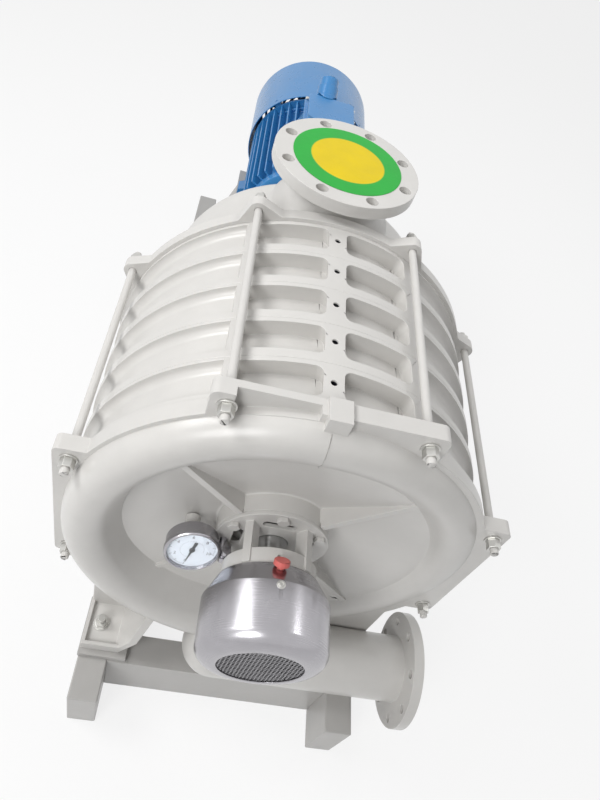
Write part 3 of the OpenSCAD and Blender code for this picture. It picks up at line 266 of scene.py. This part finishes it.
def makeGlass():
    material, tree, shader = newMaterial("gaugeGlass")
    place = addNode(tree, "TexCoord").outputs["Object"]
    shader.inputs["Base Color"].default_value = (0.97, 0.985, 1.0, 1)
    smear = noiseNode(tree, place, 60.0, 3.0)
    tree.links.new(mathNode(tree, "MULTIPLY", smear, 0.06), shader.inputs["Roughness"])
    shader.inputs["Transmission Weight"].default_value = 1.0
    shader.inputs["IOR"].default_value = 1.45
    path = addNode(tree, "LightPath")  # light passes to the dial behind
    clear = mathNode(tree, "MULTIPLY_ADD", path.outputs["Is Shadow Ray"], -0.92, 1.0)
    tree.links.new(clear, shader.inputs["Alpha"])
    return material


stickerLook = {"centreY": 581, "yellow": 0.071, "edge": 0.0012,
               "green": (0.024, 0.38, 0.05), "middle": (0.72, 0.54, 0.009), "specular": 0.2}


def makeSticker(look):  # green ring round a plain yellow disc, with slight ripples of the film
    material, tree, shader = newMaterial("stickerFilm")
    place = addNode(tree, "TexCoord").outputs["Object"]
    centre = mm(0, look["centreY"], 405)
    shift = addNode(tree, "Mapping", Location=(-centre.x, -centre.y, 0))
    tree.links.new(place, shift.inputs["Vector"])
    split = addNode(tree, "SeparateXYZ")
    tree.links.new(shift.outputs[0], split.inputs[0])
    radius = mathNode(tree, "SQRT", mathNode(tree, "ADD",
                                             mathNode(tree, "MULTIPLY", split.outputs[0], split.outputs[0]),
                                             mathNode(tree, "MULTIPLY", split.outputs[1], split.outputs[1])))
    edge = addNode(tree, "MapRange")
    edge.inputs["From Min"].default_value = look["yellow"] - look["edge"]
    edge.inputs["From Max"].default_value = look["yellow"] + look["edge"]
    tree.links.new(radius, edge.inputs["Value"])
    tone = mixColours(tree, edge.outputs["Result"], look["middle"], look["green"])
    faded = noiseNode(tree, place, 25.0, 3.0)
    value = addNode(tree, "HueSaturation")
    tree.links.new(tone, value.inputs["Color"])
    tree.links.new(mathNode(tree, "MULTIPLY_ADD", faded, 0.2, 0.9), value.inputs["Value"])
    tree.links.new(value.outputs["Color"], shader.inputs["Base Color"])
    tree.links.new(mathNode(tree, "MULTIPLY_ADD", faded, 0.15, 0.33), shader.inputs["Roughness"])
    bumpInto(tree, shader, noiseNode(tree, place, 45.0, 2.0), 0.0006)
    shader.inputs["Specular IOR Level"].default_value = look["specular"]
    return material


gaugeGlass = makeGlass()
stickerFilm = makeSticker(stickerLook)
print("materials made")


# Finish of each node: its material and the width of its rounded edges in millimetres

nodeFinish = {
    creamPaint: {"front_casing": 0.9, "rear_casing": 0.9, "tie_rods": 2.0, "front_bearing_bracket": 1.2,
                 "rear_bearing_bracket": 1.2, "bracket_bolts": 0.8, "front_bearing_cap": 0.6,
                 "rear_bearing_cap": 0.6, "gauge_bracket": 0.8, "coupling_guard": 0.6,
                 **{f"stage_casing_{k}": 0.9 for k in range(1, 6)}},
    baseShadedPaint: {"base_beams": 3.0, "base_cross_members": 1.2, "motor_stand": 1.0, "packing_plates": 1.0},
    boltSteel: {"tie_rod_nuts": 0.8, "tie_rod_washers": 0.6, "foot_bolts": 0.7, "motor_bolts": 0.7,
                "cover_screws": 0.4, "terminal_screws": 0.5},
    shaftSteel: {"blower_shaft": 0.8, "shaft_sleeves": 0.5, "bearing_outer_rings": 0.6,
                 "bearing_inner_rings": 0.6, "bearing_balls": 0, "motor_bearings": 0.6,
                 "rotor_lock_nut": 0.6},
    wheelAlloy: {f"impeller_{k}": 0.5 for k in range(1, 6)},
    darkIron: {"cooling_fan": 0.5, "coupling_hub_blower": 0.8, "coupling_hub_motor": 0.8,
               "motor_rotor": 0.6, "motor_fan": 0.6},
    polishedSteel: {"fan_cover": 0, "cover_grille": 0, "gauge_case": 0.4, "gauge_bezel": 0.6,
                    "gauge_fitting": 0.5},
    capRed: {"cover_plug": 1.4},
    dialWhite: {"gauge_dial": 0},
    pointerBlack: {"gauge_pointer": 0.2},
    gaugeGlass: {"gauge_glass": 0.3},
    spiderRubber: {"coupling_spider": 0.5},
    blueEnamel: {"motor_frame": 0.9, "motor_end_shields": 1.5, "motor_cowl": 0.5, "terminal_box": 1.5,
                 "terminal_lid": 1.8, "cable_gland": 1.6},
    windingCopper: {"motor_stator": 1.0},
    stickerFilm: {"inlet_sticker": 0},
}


edgeWork = {"join": 0.00002, "flatWithin": 0.02, "sharperThan": 42, "segments": 3, "shading": 80}


def dressNode(node, material, edge):
    node.data.materials.clear()
    node.data.materials.append(material)
    if "custom_normal" in node.data.attributes:
        node.data.attributes.remove(node.data.attributes["custom_normal"])
    node.data.shade_smooth()
    weld = node.modifiers.new("joined", "WELD")
    weld.merge_threshold = edgeWork["join"]
    flat = node.modifiers.new("wholeFaces", "DECIMATE")  # joins the triangles of each flat face
    flat.decimate_type = "DISSOLVE"
    flat.angle_limit = math.radians(edgeWork["flatWithin"])
    if edge:
        bevel = node.modifiers.new("roundedEdges", "BEVEL")
        bevel.width = edge / 1000
        bevel.segments = edgeWork["segments"]
        bevel.profile = 0.5
        bevel.limit_method = "ANGLE"
        bevel.angle_limit = math.radians(edgeWork["sharperThan"])
        bevel.use_clamp_overlap = False
    shading = node.modifiers.new("evenShading", "WEIGHTED_NORMAL")
    shading.keep_sharp = False
    shading.weight = edgeWork["shading"]


for material, members in nodeFinish.items():
    for nodeName, edgeWidth in members.items():
        dressNode(nodes[nodeName], material, edgeWidth)
left = sorted(set(nodes) - {n for members in nodeFinish.values() for n in members})
print("nodes dressed; without a finish:", left)


# Pieces made here

def newPiece(name, shape, material, smooth=True):
    mesh = bpy.data.meshes.new(name)
    shape.to_mesh(mesh)
    shape.free()
    mesh.materials.append(material)
    if smooth:
        mesh.shade_smooth()
    piece = bpy.data.objects.new(name, mesh)
    scene.collection.objects.link(piece)
    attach(piece, "machine")
    return piece


# Perforated front of the fan cover, a field of six-sided cells with a round hole in each

perforation = {"station": -212.9, "radius": 73.5, "pitch": 7.0, "hole": 2.7, "sheet": 1.0}


def makePerforatedFront(look):
    shape = bmesh.new()
    corner = look["pitch"] / math.sqrt(3)
    ring = bmesh.ops.create_circle(shape, segments=12, radius=corner)["verts"]
    for k, vert in enumerate(ring):
        vert.co *= 1 if k % 2 == 0 else math.cos(math.radians(30))
    inner = bmesh.ops.extrude_edge_only(shape, edges=shape.edges[:])["geom"]
    for vert in (v for v in inner if isinstance(v, bmesh.types.BMVert)):
        vert.co *= look["hole"] / vert.co.length
    cell = shape.verts[:] + shape.edges[:] + shape.faces[:]
    rows = int(look["radius"] / look["pitch"] / 0.866) + 1
    for row in range(-rows, rows + 1):
        for column in range(-rows - 1, rows + 2):
            across = (column + (row % 2) / 2) * look["pitch"]
            along = row * look["pitch"] * math.sqrt(0.75)
            if math.hypot(across, along) > look["radius"] - corner or (row == 0 and column == 0):
                continue
            copied = bmesh.ops.duplicate(shape, geom=cell)["geom"]
            moved = [v for v in copied if isinstance(v, bmesh.types.BMVert)]
            bmesh.ops.translate(shape, verts=moved, vec=(along, across, 0))
    bmesh.ops.remove_doubles(shape, verts=shape.verts[:], dist=look["pitch"] / 50)
    bmesh.ops.recalc_face_normals(shape, faces=shape.faces[:])
    place = Matrix.Translation(mm(0, look["station"], 0)) @ Matrix.Rotation(math.radians(90), 4, "X")
    bmesh.ops.transform(shape, matrix=place @ Matrix.Scale(0.001, 4), verts=shape.verts[:])
    front = newPiece("perforated_front", shape, polishedSteel, smooth=False)
    wall = front.modifiers.new("sheet", "SOLIDIFY")
    wall.thickness = look["sheet"] / 1000
    wall.offset = 0
    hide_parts("cover_grille")


makePerforatedFront(perforation)


# Painted shade in the tapped bosses on top: one black cup in each hole stands in for the shade deep inside
# it

holeShadeCups = {"first": 74, "step": 82, "count": 5, "floor": 333.1, "radius": 4.9, "depth": 19, "wall": 0.3}


def makeTappedHoles(look):
    shape = bmesh.new()
    outer, inner = look["radius"], look["radius"] - look["wall"]
    profile = [(0, 0), (outer, 0), (outer, look["depth"]), (inner, look["depth"]), (inner, look["wall"]),
               (0, look["wall"])]
    points = [shape.verts.new((x, 0, z)) for x, z in profile]
    edges = [shape.edges.new(pair) for pair in zip(points, points[1:])]
    bmesh.ops.spin(shape, geom=points + edges, axis=(0, 0, 1), cent=(0, 0, 0), angle=math.radians(360),
                   steps=24, use_merge=True)
    bmesh.ops.remove_doubles(shape, verts=shape.verts[:], dist=0.01)
    bmesh.ops.recalc_face_normals(shape, faces=shape.faces[:])
    cup = shape.verts[:] + shape.edges[:] + shape.faces[:]
    for k in range(1, look["count"]):
        copied = bmesh.ops.duplicate(shape, geom=cup)["geom"]
        moved = [v for v in copied if isinstance(v, bmesh.types.BMVert)]
        bmesh.ops.translate(shape, verts=moved, vec=(0, k * look["step"], 0))
    place = Matrix.Translation(mm(0, look["first"], look["floor"])) @ Matrix.Scale(0.001, 4)
    bmesh.ops.transform(shape, matrix=place, verts=shape.verts[:])
    # the cups are near black: painted shade in the holes, not a part of the machine
    newPiece("painted_hole_shade", shape, pointerBlack, smooth=False)


makeTappedHoles(holeShadeCups)


# Scale of the gauge: ticks, plain numbers and a fine inner ring, printed on the dial

gaugeScale = {"centre": (-132, -40, -11), "turn": 5.5, "tilt": 15, "depth": -7.95, "rest": 195, "sweep": 270,
              "tick": 40, "long": 5.0, "short": 2.8, "width": 0.9, "thin": 0.45, "numbers": 30,
              "height": 9.5, "inner": 21, "topMark": 10, "numberStep": 2, "film": 0.06, "ticks": 50,
              "every": 5, "dots": 35, "dot": 1.4}


def gaugePlace(look, up):  # the dial's own place, tilted and turned towards the operator
    turn = Matrix.Rotation(math.radians(look["turn"]), 4, "Z")
    tilt = Matrix.Rotation(math.radians(90 - look["tilt"]), 4, "X")
    return Matrix.Translation(mm(*look["centre"])) @ turn @ tilt @ Matrix.Translation((0, 0, up / 1000))


def makeGaugeScale(look):
    shape = bmesh.new()

    def addTick(angle, outer, length, width):
        made = bmesh.ops.create_grid(shape, x_segments=1, y_segments=1, size=0.5)["verts"]
        turn = Matrix.Rotation(-math.radians(angle), 4, "Z")
        shift = Matrix.Translation((0, outer - length / 2, 0))
        size = Matrix.Diagonal((width, length, 1, 1))
        bmesh.ops.transform(shape, matrix=turn @ shift @ size, verts=made)

    for step in range(look["ticks"] + 1):
        angle = look["rest"] + look["sweep"] * step / look["ticks"]
        if step % look["every"] == 0:
            addTick(angle, look["tick"], look["long"], look["width"])
        else:
            addTick(angle, look["tick"], look["short"], look["thin"])
    for step in range(look["dots"] + 1):
        angle = look["rest"] + look["sweep"] * step / look["dots"]
        addTick(angle, look["inner"], look["dot"], look["thin"])
    for number in range(0, look["topMark"] + 1, look["numberStep"]):
        angle = math.radians(look["rest"] + look["sweep"] * number / look["topMark"])
        letters = bpy.data.curves.new("number", "FONT")
        letters.body = str(number)
        letters.size = look["height"]
        letters.align_x = "CENTER"
        letters.align_y = "CENTER"
        holder = bpy.data.objects.new("number", letters)
        flat = bpy.data.meshes.new_from_object(holder)
        spot = (math.sin(angle) * look["numbers"], math.cos(angle) * look["numbers"], 0)
        flat.transform(Matrix.Translation(spot))
        shape.from_mesh(flat)
        bpy.data.objects.remove(holder)
        bpy.data.meshes.remove(flat)
    bmesh.ops.recalc_face_normals(shape, faces=shape.faces[:])
    place = gaugePlace(look, look["depth"]) @ Matrix.Scale(0.001, 4)
    bmesh.ops.transform(shape, matrix=place, verts=shape.verts[:])
    printed = newPiece("gauge_scale", shape, pointerBlack, smooth=False)
    ink = printed.modifiers.new("ink", "SOLIDIFY")
    ink.thickness = look["film"] / 1000
    ink.offset = 0


makeGaugeScale(gaugeScale)
print("own pieces made")


# Floor, world and lamps

floorLook = {"size": 14.0, "colour": (0.9, 0.9, 0.9, 1), "white": 0.8}
worldLook = {"fill": 0.27, "seen": 1.0}
lamps = {
    "key": {"place": (-2.4, -0.25, 3.0), "aim": (0, 0, 0.5), "size": 1.4, "power": 48},
    "overhead": {"place": (0.5, 0.8, 3.4), "aim": (0, 0, 0.5), "size": 2.6, "power": 30, "mirrored": False},
    "front": {"place": (-1.6, -2.8, 2.7), "aim": (0, -0.5, 0.6), "size": 1.6, "power": 54},
    "strip": {"place": (2.2, -0.1, 2.8), "aim": (0, -0.7, 0.6), "size": 0.3, "power": 5},
}


def makeFloor(look):
    mesh = bpy.data.meshes.new("floor")
    shape = bmesh.new()
    bmesh.ops.create_grid(shape, x_segments=1, y_segments=1, size=look["size"])
    shape.to_mesh(mesh)
    shape.free()
    floor = bpy.data.objects.new("floor", mesh)
    scene.collection.objects.link(floor)
    material, tree, shader = newMaterial("paleFloor")
    shader.inputs["Base Color"].default_value = look["colour"]
    shader.inputs["Roughness"].default_value = 0.9
    shader.inputs["Specular IOR Level"].default_value = 0.1
    path = addNode(tree, "LightPath")
    glow = addNode(tree, "Emission", Color=(1, 1, 1, 1), Strength=1.0)
    blend = addNode(tree, "MixShader")
    shown = mathNode(tree, "MAXIMUM", path.outputs["Is Camera Ray"], path.outputs["Is Glossy Ray"])
    seen = mathNode(tree, "MULTIPLY", shown, look["white"])
    tree.links.new(seen, blend.inputs[0])
    tree.links.new(shader.outputs[0], blend.inputs[1])
    tree.links.new(glow.outputs[0], blend.inputs[2])
    tree.links.new(blend.outputs[0], tree.nodes["Material Output"].inputs["Surface"])
    mesh.materials.append(material)


def makeWorld(look):
    world = bpy.data.worlds.new("studio")
    world.use_nodes = True
    scene.world = world
    tree = world.node_tree
    background = tree.nodes["Background"]
    background.inputs["Color"].default_value = (1, 1, 1, 1)
    path = addNode(tree, "LightPath")
    through = mathNode(tree, "MAXIMUM", path.outputs["Is Glossy Ray"], path.outputs["Is Transmission Ray"])
    seen = mathNode(tree, "MAXIMUM", path.outputs["Is Camera Ray"], through)
    span = look["seen"] - look["fill"]
    tree.links.new(mathNode(tree, "MULTIPLY_ADD", seen, span, look["fill"]), background.inputs["Strength"])


def makeLamp(name, look):
    lamp = bpy.data.lights.new(name, "AREA")
    lamp.shape = "DISK"
    lamp.size = look["size"]
    lamp.energy = look["power"]
    holder = bpy.data.objects.new(name, lamp)
    holder.location = look["place"]
    holder.rotation_mode = "QUATERNION"
    holder.rotation_quaternion = (Vector(look["aim"]) - Vector(look["place"])).to_track_quat("-Z", "Y")
    holder.visible_glossy = look.get("mirrored", True)
    scene.collection.objects.link(holder)


makeFloor(floorLook)
makeWorld(worldLook)
for lampName, lampLook in lamps.items():
    makeLamp(lampName, lampLook)
print("floor, world and lamps placed")
